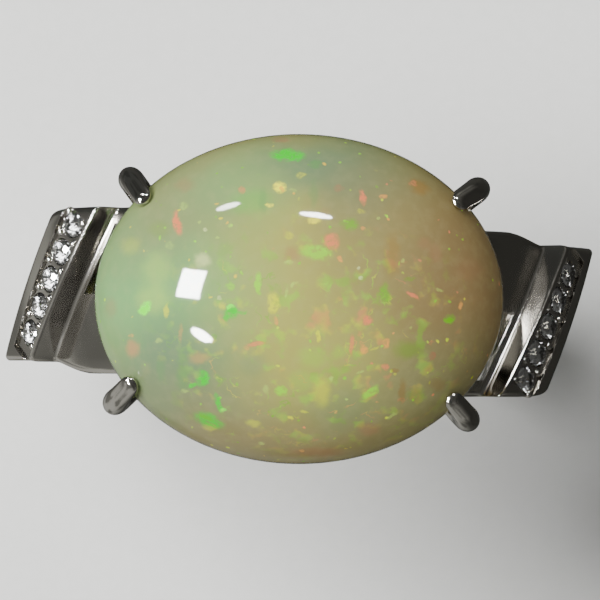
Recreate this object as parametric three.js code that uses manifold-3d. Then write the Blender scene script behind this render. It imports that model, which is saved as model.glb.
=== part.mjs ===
// Opal ring: an oval opal cabochon held by four claws over a gallery of two rails, on a
// white-metal shank. Each shoulder carries a slanted ridge set with five small diamonds.
// Units are millimetres. +Z is up, +X runs along the stone's length, +Y along the finger,
// and the origin is the middle of the flat sole that the ring stands on.
import * as THREE from "three";
import { mergeVertices } from "three/addons/utils/BufferGeometryUtils.js";
import Module from "manifold-3d";

const wasm = await Module();
wasm.setup();
const { degToRad, radToDeg, lerp, smoothstep } = THREE.MathUtils;

// Driving dimensions
const FINGER_RADIUS = 8.5;
const SOLE_THICKNESS = 1.5;
const HOLE_HEIGHT = SOLE_THICKNESS + FINGER_RADIUS;
const GIRDLE_ABOVE_FINGER = 3.8;
const GIRDLE_HEIGHT = HOLE_HEIGHT + FINGER_RADIUS + GIRDLE_ABOVE_FINGER;
const SOLDER_GAP = 0.03;
const STONE = { length: 13, width: 10.5, dome: 4, base: 1.6, girdle: 0.25, baseFullness: 2.4 };
const SHANK = { soleRadius: 10.6, sideRadius: 9.65, deckRadius: 10.3, crown: 0.25, edge: 0.22 };
const BAND = { soleHalfWidth: 1.3, shoulderHalfWidth: 1.93, start: -60, end: 24 };
const FAR_FLARE = { extra: 1.22, start: 24, end: 46 };
const NEAR_FLARE = { extra: 0.45, start: 33, end: 47 };
const RIDGE = { angle: 37.1, slant: 3.5, top: 11.2, bed: 11.08, halfWidth: 0.9, bevel: 0.1 };
const ROW = { aside: 0.17, middle: 0.8, bedHalfWidth: 0.55, bedSlope: 0.03 };
const DIAMOND = { count: 5, radius: 0.45, pitch: 1.09, crown: 0.14, depth: 0.4, girdle: 0.03, table: 0.26 };
const BEAD = { radius: 0.15, aside: 0.39, sunk: 0.03 };
const WINDOW = { low: 0.3, high: 2.6, clearance: 0.15 };
const BASE_RAIL = { length: 9.2, width: 7.2, wall: 0.85, top: 19.75, bevel: 0.12 };
const GALLERY_RAIL = { length: 10.8, width: 8.3, thickness: 0.9, height: 20.8 };
const CLAW = { rootRadius: 0.42, girdleRadius: 0.47, tipRadius: 0.27, flatness: 0.88 };

// The claws were bent by hand, so each has its own place round the stone's edge and its own
// heading outwards, both in degrees anticlockwise from +X.
const CLAWS = [
  { name: "claw_back_right", place: 36.7, heading: 36 },
  { name: "claw_back_left", place: 140.6, heading: 125 },
  { name: "claw_front_left", place: 213.2, heading: 226 },
  { name: "claw_front_right", place: 319.9, heading: 310 },
];

// A claw's centreline in its own upright plane: distance out from the stone's edge, and height
// above the girdle. It rises from the base rail, swells past the girdle and leans over the dome.
const CLAW_PATH = [
  [-1.75, -4.1],
  [-1.5, -3.0],
  [-0.85, -1.7],
  [-0.1, -0.8],
  [0.44, -0.2],
  [0.52, 0.35],
  [0.36, 0.95],
  [0.05, 1.42],
  [-0.22, 1.7],
  [-0.45, 1.82],
];

// Faces round each oval.
const OVAL_STEPS = 40;

const METAL = new THREE.MeshStandardMaterial({ color: 0xc4c2bb, metalness: 1, roughness: 0.22 });
const OPAL = new THREE.MeshStandardMaterial({ color: 0xa9a57c, metalness: 0, roughness: 0.08 });
const DIAMOND_CLEAR = new THREE.MeshStandardMaterial({ color: 0xe9ecef, metalness: 0, roughness: 0.02 });

// A three.js geometry as a manifold solid, and back again

function toSolid(geometry) {
  const bare = new THREE.BufferGeometry();
  bare.setAttribute("position", geometry.getAttribute("position"));
  bare.setIndex(geometry.index);
  const merged = mergeVertices(bare, 1e-4);
  const mesh = new wasm.Mesh({
    numProp: 3,
    vertProperties: new Float32Array(merged.attributes.position.array),
    triVerts: new Uint32Array(merged.index.array),
  });
  return new wasm.Manifold(mesh);
}

function toMesh(name, solid, material) {
  const { vertProperties, triVerts } = solid.getMesh();
  const shared = new THREE.BufferGeometry();
  shared.setAttribute("position", new THREE.BufferAttribute(vertProperties, 3));
  shared.setIndex(new THREE.BufferAttribute(triVerts, 1));
  const geometry = shared.toNonIndexed();
  geometry.computeVertexNormals();
  const mesh = new THREE.Mesh(geometry, material);
  mesh.name = name;
  return mesh;
}

// A closed ring: a torus grid whose points are put where place(i, j) says, with i stepping
// round the ring and j round its section.
function ringSurface(ringSteps, sectionSteps, place) {
  const geometry = new THREE.TorusGeometry(1, 0.5, sectionSteps, ringSteps);
  const position = geometry.getAttribute("position");
  const uv = geometry.getAttribute("uv");
  for (let n = 0; n < position.count; n++) {
    const i = Math.round(uv.getX(n) * ringSteps) % ringSteps;
    const j = Math.round(uv.getY(n) * sectionSteps) % sectionSteps;
    position.setXYZ(n, ...place(i, j));
  }
  return geometry;
}

// The same thing turned half round the upright axis, as the second shoulder is to the first.
function turnedHalf(geometry) {
  return geometry.clone().rotateZ(Math.PI);
}

// Opal: a domed oval with a narrow girdle and a shallow base

function opalGeometry(grow = 0) {
  const baseSteps = 7;
  const domeSteps = 11;
  const fullness = 2 / STONE.baseFullness;
  const quarter = (n, steps) => (n / steps) * (Math.PI / 2);
  const profile = [new THREE.Vector2(0, -STONE.girdle / 2 - STONE.base - grow)];
  for (let n = 1; n <= baseSteps; n++) {
    const turn = quarter(n, baseSteps);
    const depth = (STONE.base + grow) * Math.max(Math.cos(turn), 0) ** fullness;
    profile.push(new THREE.Vector2(Math.sin(turn) ** fullness, -STONE.girdle / 2 - depth));
  }
  for (let n = 0; n < domeSteps; n++) {
    const turn = quarter(n, domeSteps);
    const rise = (STONE.dome + grow) * Math.sin(turn);
    profile.push(new THREE.Vector2(Math.cos(turn), STONE.girdle / 2 + rise));
  }
  profile.push(new THREE.Vector2(0, STONE.girdle / 2 + STONE.dome + grow));
  const geometry = new THREE.LatheGeometry(profile, OVAL_STEPS);
  geometry.rotateX(Math.PI / 2);
  geometry.scale(STONE.length / 2 + grow, STONE.width / 2 + grow, 1);
  geometry.translate(0, 0, GIRDLE_HEIGHT);
  return geometry;
}

// Hoop: sections step round the finger. At the shoulders they are slanted, so that one group of
// them makes the ridge, which crosses the band from edge to edge.

// How far the band reaches to one of its edges at an angle above the horizontal, in degrees.
// Each shoulder flares further to the edge that the ridge climbs to.
function reachOfBand(angle, climbs) {
  const plain = lerp(BAND.soleHalfWidth, BAND.shoulderHalfWidth, smoothstep(angle, BAND.start, BAND.end));
  const { extra, start, end } = climbs ? FAR_FLARE : NEAR_FLARE;
  return plain + extra * smoothstep(angle, start, end);
}

// Degrees that a section turns about the finger per millimetre along it: positive on the left.
function lean(station) {
  return station.side * RIDGE.slant * smoothstep(station.angle, 2, 30);
}

// Degrees round the finger for each millimetre measured square to the ridge.
const DEGREES_ACROSS = radToDeg(Math.hypot(1, degToRad(RIDGE.slant) * RIDGE.top) / RIDGE.top);

function plainStation(angle) {
  const rise = smoothstep(angle, -80, -10);
  const toShoulder = smoothstep(angle, 8, 32);
  const shoulderRise = SHANK.deckRadius - SHANK.sideRadius;
  const radius = lerp(SHANK.soleRadius, SHANK.sideRadius, rise) + shoulderRise * toShoulder;
  return { angle, radius, crown: SHANK.crown * (1 - toShoulder) };
}

function ridgeStations() {
  const edge = RIDGE.halfWidth;
  const [bedStart, bedEnd] = [ROW.aside - ROW.bedHalfWidth, ROW.aside + ROW.bedHalfWidth];
  const steps = [
    [-edge - 0.1, SHANK.deckRadius],
    [-edge, RIDGE.top - RIDGE.bevel],
    [-edge + RIDGE.bevel, RIDGE.top],
    [bedStart - ROW.bedSlope, RIDGE.top],
    [bedStart, RIDGE.bed],
    [bedEnd, RIDGE.bed],
    [bedEnd + ROW.bedSlope, RIDGE.top],
    [edge - RIDGE.bevel, RIDGE.top],
    [edge, RIDGE.top - RIDGE.bevel],
    [edge + 0.1, SHANK.deckRadius],
  ];
  return steps.map(([across, radius]) => ({
    angle: RIDGE.angle + across * DEGREES_ACROSS,
    radius,
    crown: 0,
  }));
}

// Stations up one side, from the sole at -90 degrees to the top at 90.
function sideStations(side) {
  const below = [-90, -80, -72, -63, -54, -45, -36, -27, -18, -9, 0, 8, 15, 21, 26, 30];
  const above = [49, 54, 59, 66, 78, 90];
  return [...below.map(plainStation), ...ridgeStations(), ...above.map(plainStation)].map((station) => ({
    ...station,
    side,
  }));
}

// Where a slanted section meets one edge of the band, found by repeating the estimate.
function edgeOfBand(station, edge) {
  const climbs = edge === station.side;
  let y = edge * reachOfBand(station.angle, climbs);
  for (let n = 0; n < 30; n++) y = edge * reachOfBand(station.angle + lean(station) * y, climbs);
  return y;
}

// Places across the band, from one edge to the other.
const ACROSS = [-1, -0.5, 0, 0.5, 1];

// A section's outline as [y, radius]: over the outside, down an edge, back inside and up.
function sectionOutline(station) {
  const low = edgeOfBand(station, -1);
  const high = edgeOfBand(station, 1);
  const { radius, crown } = station;
  const across = (step) => lerp(low + SHANK.edge, high - SHANK.edge, (step + 1) / 2);
  return [
    ...ACROSS.map((step) => [across(step), radius - crown * step ** 2]),
    [high, radius - crown - SHANK.edge],
    [high, FINGER_RADIUS + SHANK.edge],
    ...ACROSS.map((step) => [across(-step), FINGER_RADIUS]),
    [low, FINGER_RADIUS + SHANK.edge],
    [low, radius - crown - SHANK.edge],
  ];
}

function hoopGeometry() {
  const left = sideStations(1);
  const right = sideStations(-1).slice(1, -1).reverse();
  const stations = [...left, ...right];
  const outlines = stations.map(sectionOutline);
  return ringSurface(stations.length, outlines[0].length, (i, j) => {
    const station = stations[i];
    const [y, radius] = outlines[i][j];
    const angle = degToRad(station.angle + lean(station) * y);
    const height = HOLE_HEIGHT + radius * Math.sin(angle);
    // The sole is filed flat at height zero.
    return [-station.side * radius * Math.cos(angle), y, Math.max(height, 0)];
  });
}

// Frames along the left row of stones, which lies nearer to the ridge's inner wall than to its
// outer one: local z points out of the metal, y along the ridge.
function ridgeFrame(y, radius) {
  const angle = degToRad(RIDGE.angle + ROW.aside * DEGREES_ACROSS + RIDGE.slant * y);
  const turn = degToRad(RIDGE.slant);
  const out = new THREE.Vector3(-Math.cos(angle), 0, Math.sin(angle));
  const along = new THREE.Vector3(Math.sin(angle) * turn * radius, 1, Math.cos(angle) * turn * radius);
  along.normalize();
  const across = along.clone().cross(out);
  const origin = new THREE.Vector3(out.x * radius, y, HOLE_HEIGHT + out.z * radius);
  return new THREE.Matrix4().makeBasis(across, along, out).setPosition(origin);
}

const RIDGE_LENGTH_PER_Y = Math.hypot(1, degToRad(RIDGE.slant) * RIDGE.top);

// The y of each place along the row, counted in stone pitches from its middle.
function ridgeY(pitches) {
  return ROW.middle + (pitches * DIAMOND.pitch) / RIDGE_LENGTH_PER_Y;
}

// Where the stones sit, in pitches from the middle: -2, -1, 0, 1, 2 for five.
const STONE_PLACES = Array.from({ length: DIAMOND.count }, (_, n) => n - (DIAMOND.count - 1) / 2);
const BEAD_PLACES = Array.from({ length: DIAMOND.count + 1 }, (_, n) => n - DIAMOND.count / 2);

function upright(geometry) {
  return geometry.rotateX(Math.PI / 2);
}

// A small round diamond with a flat table, eight crown facets and eight below.
function diamondGeometry() {
  const { radius, table, crown, depth, girdle } = DIAMOND;
  const profile = [
    [0, -depth],
    [radius, -girdle / 2],
    [radius, girdle / 2],
    [table, crown],
    [0, crown],
  ].map(([x, z]) => new THREE.Vector2(x, z));
  return upright(new THREE.LatheGeometry(profile, 8));
}

function seatGeometry() {
  const radius = DIAMOND.radius + SOLDER_GAP;
  const profile = [
    [0, -DIAMOND.depth - 2 * SOLDER_GAP],
    [radius, -DIAMOND.girdle / 2 - SOLDER_GAP],
    [radius, 3 * DIAMOND.crown],
    [0, 3 * DIAMOND.crown],
  ].map(([x, z]) => new THREE.Vector2(x, z));
  return upright(new THREE.LatheGeometry(profile, 8));
}

// Beads of metal pushed up in pairs beside the stones.
function beadGeometries() {
  return BEAD_PLACES.flatMap((place) =>
    [-1, 1].map((side) => {
      const reach = Math.abs(place) > DIAMOND.count / 2 - 0.1 ? 0.9 : 1;
      const frame = ridgeFrame(ridgeY(place * reach), RIDGE.bed);
      const bead = new THREE.IcosahedronGeometry(BEAD.radius, 0);
      return bead.translate(side * BEAD.aside, 0, -BEAD.sunk).applyMatrix4(frame);
    }),
  );
}

// The gap between the ridge and the plain arm below it, open down to the finger.
function windowGeometry() {
  const wall = (y) => {
    const across = RIDGE.halfWidth + 0.1;
    const angle = degToRad(RIDGE.angle + RIDGE.slant * y + across * DEGREES_ACROSS);
    return -SHANK.deckRadius * Math.cos(angle) + WINDOW.clearance;
  };
  const headSide = -BASE_RAIL.length / 2 + 0.8;
  const outline = new THREE.Shape([
    new THREE.Vector2(wall(WINDOW.low), WINDOW.low),
    new THREE.Vector2(headSide, WINDOW.low),
    new THREE.Vector2(headSide, WINDOW.high),
    new THREE.Vector2(wall(WINDOW.high), WINDOW.high),
  ]);
  const prism = new THREE.ExtrudeGeometry(outline, { depth: FINGER_RADIUS + 4, bevelEnabled: false });
  return prism.translate(0, 0, HOLE_HEIGHT);
}

// Head: two oval rails and four claws

// A point on an oval and the direction square to it, at an angle in degrees.
function onOval(length, width, angle) {
  const turn = degToRad(angle);
  const point = new THREE.Vector2((length / 2) * Math.cos(turn), (width / 2) * Math.sin(turn));
  const out = new THREE.Vector2(Math.cos(turn) / length, Math.sin(turn) / width).normalize();
  return { point, out };
}

// The lower rail's foot follows the finger hole.
function baseRailGeometry() {
  const { length, width, wall, top, bevel } = BASE_RAIL;
  const section = [
    [0, top - bevel],
    [-bevel, top],
    [bevel - wall, top],
    [-wall, top - bevel],
    [-wall, null],
    [0, null],
  ];
  return ringSurface(OVAL_STEPS, section.length, (i, j) => {
    const { point, out } = onOval(length, width, (i / OVAL_STEPS) * 360);
    const [inset, height] = section[j];
    point.addScaledVector(out, inset);
    return [point.x, point.y, height ?? HOLE_HEIGHT + Math.sqrt(FINGER_RADIUS ** 2 - point.x ** 2)];
  });
}

function galleryRailGeometry() {
  const { length, width, thickness, height } = GALLERY_RAIL;
  const sides = 8;
  return ringSurface(OVAL_STEPS, sides, (i, j) => {
    const { point, out } = onOval(length, width, (i / OVAL_STEPS) * 360);
    const turn = ((j + 0.5) / sides) * 2 * Math.PI;
    const reach = thickness / 2 / Math.cos(Math.PI / sides);
    point.addScaledVector(out, reach * Math.cos(turn));
    return [point.x, point.y, height + reach * Math.sin(turn)];
  });
}

// Room for the lower rail in the hoop.
function headOpeningGeometry() {
  const opening = upright(new THREE.CylinderGeometry(1, 1, 2 * FINGER_RADIUS, OVAL_STEPS));
  opening.scale(BASE_RAIL.length / 2 + SOLDER_GAP, BASE_RAIL.width / 2 + SOLDER_GAP, 1);
  return opening.translate(0, 0, HOLE_HEIGHT + FINGER_RADIUS);
}

// A capsule bent along the claw's centreline, a little flat and thickest where it passes the girdle.
function clawGeometry({ place, heading }, grow = 0) {
  const curve = new THREE.CatmullRomCurve3(
    CLAW_PATH.map(([out, height]) => new THREE.Vector3(out, 0, GIRDLE_HEIGHT + height)),
  );
  const length = curve.getLength();
  const geometry = new THREE.CapsuleGeometry(CLAW.girdleRadius, length - 2 * CLAW.girdleRadius, 4, 10, 9);
  const position = geometry.getAttribute("position");
  const vertex = new THREE.Vector3();
  for (let n = 0; n < position.count; n++) {
    vertex.fromBufferAttribute(position, n);
    const share = THREE.MathUtils.clamp(vertex.y / length + 0.5, 0, 1);
    const point = curve.getPointAt(share);
    const tangent = curve.getTangentAt(share);
    const swell = lerp(CLAW.rootRadius, CLAW.girdleRadius, smoothstep(share, 0, 0.6));
    const radius = lerp(swell, CLAW.tipRadius, smoothstep(share, 0.7, 1)) + grow;
    const scale = radius / CLAW.girdleRadius;
    point.addScaledVector(tangent, grow * (2 * share - 1));
    point.add(new THREE.Vector3(-tangent.z, 0, tangent.x).multiplyScalar(vertex.x * scale));
    position.setXYZ(n, point.x, point.y + vertex.z * scale * CLAW.flatness, point.z);
  }
  const { point } = onOval(STONE.length, STONE.width, place);
  return geometry.rotateZ(degToRad(heading)).translate(point.x, point.y, 0);
}

// Joining and cutting

const cutAll = (solid, cutters) => cutters.reduce((left, cutter) => left.subtract(cutter), solid);
const joinAll = (solid, added) => added.reduce((sum, piece) => sum.add(piece), solid);
const bothSides = (geometries) => [...geometries, ...geometries.map(turnedHalf)];

const opal = toSolid(opalGeometry());
const opalRoom = toSolid(opalGeometry(SOLDER_GAP));
const clawRooms = CLAWS.map((claw) => toSolid(clawGeometry(claw, SOLDER_GAP)));

const seats = STONE_PLACES.map((place) => seatGeometry().applyMatrix4(ridgeFrame(ridgeY(place), RIDGE.bed)));
const shank = cutAll(joinAll(toSolid(hoopGeometry()), bothSides(beadGeometries()).map(toSolid)), [
  toSolid(headOpeningGeometry()),
  ...bothSides([windowGeometry(), ...seats]).map(toSolid),
  ...clawRooms,
]);
const baseRail = cutAll(toSolid(baseRailGeometry()), clawRooms);
const galleryRail = cutAll(toSolid(galleryRailGeometry()), [opalRoom, ...clawRooms]);

const ring = new THREE.Group();
ring.add(toMesh("opal", opal, OPAL));
ring.add(toMesh("shank", shank, METAL));
ring.add(toMesh("base_rail", baseRail, METAL));
ring.add(toMesh("gallery_rail", galleryRail, METAL));
for (const claw of CLAWS) {
  ring.add(toMesh(claw.name, toSolid(clawGeometry(claw)).subtract(opalRoom), METAL));
}

// Each shoulder's row of diamonds is a group; the right one is the left one turned half round.
const diamond = toSolid(diamondGeometry());
for (const [side, turn] of [["left", 0], ["right", Math.PI]]) {
  const row = new THREE.Group();
  row.rotation.z = turn;
  STONE_PLACES.forEach((place, n) => {
    const stone = toMesh(`diamond_${side}_${n + 1}`, diamond, DIAMOND_CLEAR);
    stone.applyMatrix4(ridgeFrame(ridgeY(place), RIDGE.bed));
    row.add(stone);
  });
  ring.add(row);
}

export default ring;
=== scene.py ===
# %% [markdown]
# An opal ring for a close photograph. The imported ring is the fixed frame: every piece made here
# stands where its solid stands. Lengths are written in millimetres, as a jeweller gives them,
# and are turned to Blender's metres when a mesh is made.

# %% Load the frame
import math
import bmesh
import bpy
import numpy as np
from mathutils import Matrix, Vector


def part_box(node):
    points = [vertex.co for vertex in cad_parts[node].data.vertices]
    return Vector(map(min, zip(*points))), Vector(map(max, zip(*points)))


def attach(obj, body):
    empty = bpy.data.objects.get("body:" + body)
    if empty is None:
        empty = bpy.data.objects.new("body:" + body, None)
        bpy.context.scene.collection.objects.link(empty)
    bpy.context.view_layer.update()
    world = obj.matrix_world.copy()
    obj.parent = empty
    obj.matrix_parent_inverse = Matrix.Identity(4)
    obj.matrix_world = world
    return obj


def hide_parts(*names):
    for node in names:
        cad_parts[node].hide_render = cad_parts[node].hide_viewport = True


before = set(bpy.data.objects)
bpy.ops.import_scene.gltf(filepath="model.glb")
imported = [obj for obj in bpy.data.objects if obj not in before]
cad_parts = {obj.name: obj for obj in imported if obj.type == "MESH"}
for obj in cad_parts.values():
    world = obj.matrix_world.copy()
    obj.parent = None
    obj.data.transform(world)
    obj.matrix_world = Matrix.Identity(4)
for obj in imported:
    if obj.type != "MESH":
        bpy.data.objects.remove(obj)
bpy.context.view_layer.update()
MM = 0.001
opal_low, opal_high = (np.array(corner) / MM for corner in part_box("opal"))
print("opal box in millimetres:", opal_low.round(2), opal_high.round(2))

# %% [markdown]
# The camera looks almost straight down on the opal, as the photograph does: it leans by little
# more than a degree, which moves the deep shoulders down in the picture. It is a long lens close
# to the ring, so what lies deeper shrinks a little. The lens follows from the distance and from
# how much of the opal's plane the picture takes in.

# %% Camera
DOME = 4.0
GIRDLE_HEIGHT = opal_high[2] - DOME - 0.125
CAMERA_DISTANCE = 95.0
CAMERA_LEAN = math.radians(1.4)
PICTURE_WIDTH = 19.12
SENSOR = 36.0

camera_data = bpy.data.cameras.new("close_up")
camera_data.sensor_width = SENSOR
camera_data.lens = SENSOR * CAMERA_DISTANCE / PICTURE_WIDTH
camera_data.clip_start = 0.002
camera = bpy.data.objects.new("close_up", camera_data)
picture_middle = Vector((0.03, -0.03, GIRDLE_HEIGHT))
backwards = Vector((0, -math.sin(CAMERA_LEAN), math.cos(CAMERA_LEAN)))
camera.location = (picture_middle + backwards * CAMERA_DISTANCE) * MM
camera.rotation_euler = (CAMERA_LEAN, 0, 0)
bpy.context.scene.collection.objects.link(camera)
bpy.context.scene.camera = camera
print("girdle at", round(GIRDLE_HEIGHT, 2), "mm, lens", round(camera_data.lens, 1), "mm")

# %% [markdown]
# Materials are built from nodes. One function adds a node, gives it its settings, links or fills
# its inputs, and returns an output, so that nodes read like nested sums. Colours are written as
# sRGB hex values, as a colour picker gives them, and one function turns them to linear light.


# %% Node and colour helpers
def add(tree, kind, inputs=None, out=None, **settings):
    """Adds a node with its settings; inputs are sockets to link or values to fill in."""
    node = tree.nodes.new(kind)
    for name, value in settings.items():
        setattr(node, name, value)
    for name, value in (inputs or {}).items():
        named = [socket for socket in node.inputs if socket.enabled and socket.name == name]
        socket = named[0] if named else node.inputs[name]
        if isinstance(value, bpy.types.NodeSocket):
            tree.links.new(value, socket)
        else:
            socket.default_value = value
    shown = [socket for socket in node.outputs if socket.enabled and out in (None, socket.name)]
    return shown[0] if shown else None


def linear(hex_colour):
    """An sRGB hex value such as "#a9dd4f" as linear red, green, blue and alpha."""
    channels = [int(hex_colour[n : n + 2], 16) / 255 for n in (1, 3, 5)]
    return [c / 12.92 if c <= 0.04045 else ((c + 0.055) / 1.055) ** 2.4 for c in channels] + [1.0]


def new_material(name):
    """A material with no nodes yet, and its node tree."""
    material = bpy.data.materials.new(name)
    material.use_nodes = True
    tree = material.node_tree
    tree.nodes.clear()
    return material, tree


def millimetres(tree):
    """The place on the ring in millimetres, the same at every pose and from every side."""
    place = add(tree, "ShaderNodeTexCoord", out="Object")
    return add(tree, "ShaderNodeVectorMath", {0: place, 1: (1 / MM, 1 / MM, 1 / MM)}, operation="MULTIPLY")


# %% [markdown]
# The ring stands on white card in a dim room. Polished metal shows what is round it, and in an even pale room
# the claws would be white. So the room is dark overhead, where the camera hangs, pale low down and to the
# left, and dark to the right, and it is full of dim shapes that break up the reflections. The card lights the
# ring but is left out of its reflections. Its faint mottling is paper fibre, about half a millimetre long. A
# painted shade darkens it to grey towards the lower right, where the photograph's card is darkest.

# %% Card and room
FLOOR_REACH = 4000.0
FIBRE = 0.5
PAINTED_SHADE_MIDDLE = (13.5, -8.0)
PAINTED_SHADE_REACH = 17.0
PAINTED_SHADE_GREY = "#565654"
# an oval's reach up and down, so large that it is a column seen from above
COLUMN = 1000.0
# height from straight down, 0, over the horizon, 0.5, to straight up, 1
ROOM = [(0.33, "#4a4a47"), (0.44, "#a5a5a0"), (0.53, "#a5a5a0"), (0.65, "#858480"), (0.85, "#5a5a57")]
# direction, how squarely it must be faced to start and to be whole, colour
WALLS = [
    ((-0.8, -0.55, -0.25), (0.2, 0.95), "#c4c4be"),
    ((-0.6, 0.8, 0.0), (0.45, 0.9), "#4c4e4c"),
    ((0.95, 0.1, -0.1), (0.25, 0.85), "#3a3a37"),
]
# dim shapes for each unit of looking direction, where the noise makes them, and their colour
CLUTTER = 2.4
CLUTTER_NOISE = {"From Min": 0.46, "From Max": 0.6, "To Max": 0.65}
CLUTTER_GREY = "#343432"

card, tree = new_material("matte_card")
mottle = add(tree, "ShaderNodeTexNoise", {"Vector": millimetres(tree), "Scale": 1 / FIBRE, "Detail": 3.0})
fibres = {"Factor": mottle, "A": linear("#ecede9"), "B": linear("#f4f4f1")}
tone = add(tree, "ShaderNodeMix", fibres, data_type="RGBA")
# painted shade: the card is darkened to grey round a point to the lower right, as a soft shadow would darken
# it
patch = {
    "Vector": millimetres(tree),
    "Location": (*PAINTED_SHADE_MIDDLE, 0),
    "Scale": (PAINTED_SHADE_REACH, PAINTED_SHADE_REACH, COLUMN),
}
local = add(tree, "ShaderNodeMapping", patch, vector_type="TEXTURE")
painted_shade_share = add(tree, "ShaderNodeTexGradient", {"Vector": local}, out="Fac", gradient_type="QUADRATIC_SPHERE")
painted_shade_layer = {"Factor": painted_shade_share, "A": tone, "B": linear(PAINTED_SHADE_GREY)}
tone = add(tree, "ShaderNodeMix", painted_shade_layer, data_type="RGBA")
surface = add(tree, "ShaderNodeBsdfPrincipled", {"Base Color": tone, "Roughness": 0.9})
add(tree, "ShaderNodeOutputMaterial", {"Surface": surface})

floor_mesh = bpy.data.meshes.new("card")
corners = [(x * FLOOR_REACH * MM, y * FLOOR_REACH * MM, 0) for x, y in ((-1, -1), (1, -1), (1, 1), (-1, 1))]
floor_mesh.from_pydata(corners, [], [(0, 1, 2, 3)])
floor = bpy.data.objects.new("card", floor_mesh)
floor.data.materials.append(card)
bpy.context.scene.collection.objects.link(floor)
floor.visible_glossy = False

world = bpy.data.worlds.new("room")
bpy.context.scene.world = world
world.use_nodes = True
world.node_tree.nodes.clear()
tree = world.node_tree
looking = add(tree, "ShaderNodeTexCoord", out="Generated")
up = add(tree, "ShaderNodeSeparateXYZ", {"Vector": looking}, out="Z")
height = add(tree, "ShaderNodeMapRange", {"Value": up, "From Min": -1.0, "From Max": 1.0})
shade = add(tree, "ShaderNodeValToRGB", {"Fac": height}, out="Color")
bands = shade.node.color_ramp.elements
bands[0].color, bands[1].color = linear(ROOM[0][1]), linear(ROOM[-1][1])
bands[0].position, bands[1].position = ROOM[0][0], ROOM[-1][0]
for stop, tint in ROOM[1:-1]:
    bands.new(stop).color = linear(tint)
for direction, (edge, core), tint in WALLS:
    side = {0: looking, 1: Vector(direction).normalized()}
    facing = add(tree, "ShaderNodeVectorMath", side, out="Value", operation="DOT_PRODUCT")
    spread = {"Value": facing, "From Min": edge, "From Max": core}
    share = add(tree, "ShaderNodeMapRange", spread, interpolation_type="SMOOTHSTEP")
    shade = add(tree, "ShaderNodeMix", {"Factor": share, "A": shade, "B": linear(tint)}, data_type="RGBA")
shapes = add(tree, "ShaderNodeTexNoise", {"Vector": looking, "Scale": CLUTTER, "Detail": 1.0})
spread = {"Value": shapes, **CLUTTER_NOISE}
share = add(tree, "ShaderNodeMapRange", spread, interpolation_type="SMOOTHSTEP")
shade = add(tree, "ShaderNodeMix", {"Factor": share, "A": shade, "B": linear(CLUTTER_GREY)}, data_type="RGBA")
add(tree, "ShaderNodeOutputWorld", {"Surface": add(tree, "ShaderNodeBackground", {"Color": shade})})

# %% [markdown]
# One large softbox up to the left lights the ring; its soft shadow falls to the lower right. The
# photograph's highlights tell where the room's small bright lamps were: a dome mirrors each lamp
# from one place. So each lamp is hung by the place of its highlight on the dome. From the camera
# the view is turned back about the dome's normal there, and the lamp goes along that line. The
# softbox is left out of reflections and the lamps light nothing but reflections, so that shading
# and highlights can be matched one at a time.

# %% Lights
STONE_LENGTH = 13.0
STONE_WIDTH = 10.5
LIGHT_DISTANCE = 260.0

# name, highlight's place on the dome, width and height in degrees, turn in degrees, brightness
LAMPS = [
    ("window", (-3.34, 0.38), (15.4, 11.8), 0, 220.0),
    ("small_lamp", (-3.0, -1.2), (10.6, 5.6), 25, 180.0),
    ("strip_lamp_left", (-2.19, 2.78), (8.6, 4.4), -14, 60.0),
    ("strip_lamp_right", (0.52, 2.49), (11.5, 3.4), -5, 110.0),
]
SOFTBOX = {"azimuth": 155.0, "from_overhead": 26.0, "across": 40.0, "brightness": 14.5}


def hang_light(name, aim_at, toward, wide, high, turn, brightness):
    """An area light of an angular size in degrees, hung from a point along a direction."""
    lamp = bpy.data.lights.new(name, "AREA")
    lamp.shape = "RECTANGLE" if name in ("window", "softbox") else "ELLIPSE"
    lamp.size = 2 * LIGHT_DISTANCE * math.tan(math.radians(wide) / 2) * MM
    lamp.size_y = 2 * LIGHT_DISTANCE * math.tan(math.radians(high) / 2) * MM
    lamp.energy = brightness * math.pi * lamp.size * lamp.size_y
    light = bpy.data.objects.new(name, lamp)
    facing = toward.to_track_quat("Z", "Y").to_matrix().to_4x4()
    rolled = Matrix.Rotation(math.radians(turn), 4, "Z")
    light.matrix_world = Matrix.Translation((aim_at + toward * LIGHT_DISTANCE) * MM) @ facing @ rolled
    bpy.context.scene.collection.objects.link(light)
    print(name, "stands", round(math.degrees(toward.angle(Vector((0, 0, 1))))), "degrees from overhead")
    return light


def dome_point(x, y):
    """The point of the opal's dome above x and y, and the normal there."""
    rise = math.sqrt(1 - (2 * x / STONE_LENGTH) ** 2 - (2 * y / STONE_WIDTH) ** 2)
    point = Vector((x, y, opal_high[2] - DOME + DOME * rise))
    normal = Vector((x / STONE_LENGTH**2, y / STONE_WIDTH**2, rise / (4 * DOME)))
    return point, normal.normalized()


for name, place, (wide, high), turn, brightness in LAMPS:
    point, normal = dome_point(*place)
    view = (camera.location / MM - point).normalized()
    toward = 2 * normal.dot(view) * normal - view
    light = hang_light(name, point, toward, wide, high, turn, brightness)
    light.visible_diffuse = False

azimuth, tilt = math.radians(SOFTBOX["azimuth"]), math.radians(SOFTBOX["from_overhead"])
toward = Vector((math.cos(azimuth) * math.sin(tilt), math.sin(azimuth) * math.sin(tilt), math.cos(tilt)))
girdle_middle = Vector((0, 0, GIRDLE_HEIGHT))
across = SOFTBOX["across"]
softbox = hang_light("softbox", girdle_middle, toward, across, across, 0, SOFTBOX["brightness"])
softbox.visible_glossy = False
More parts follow.
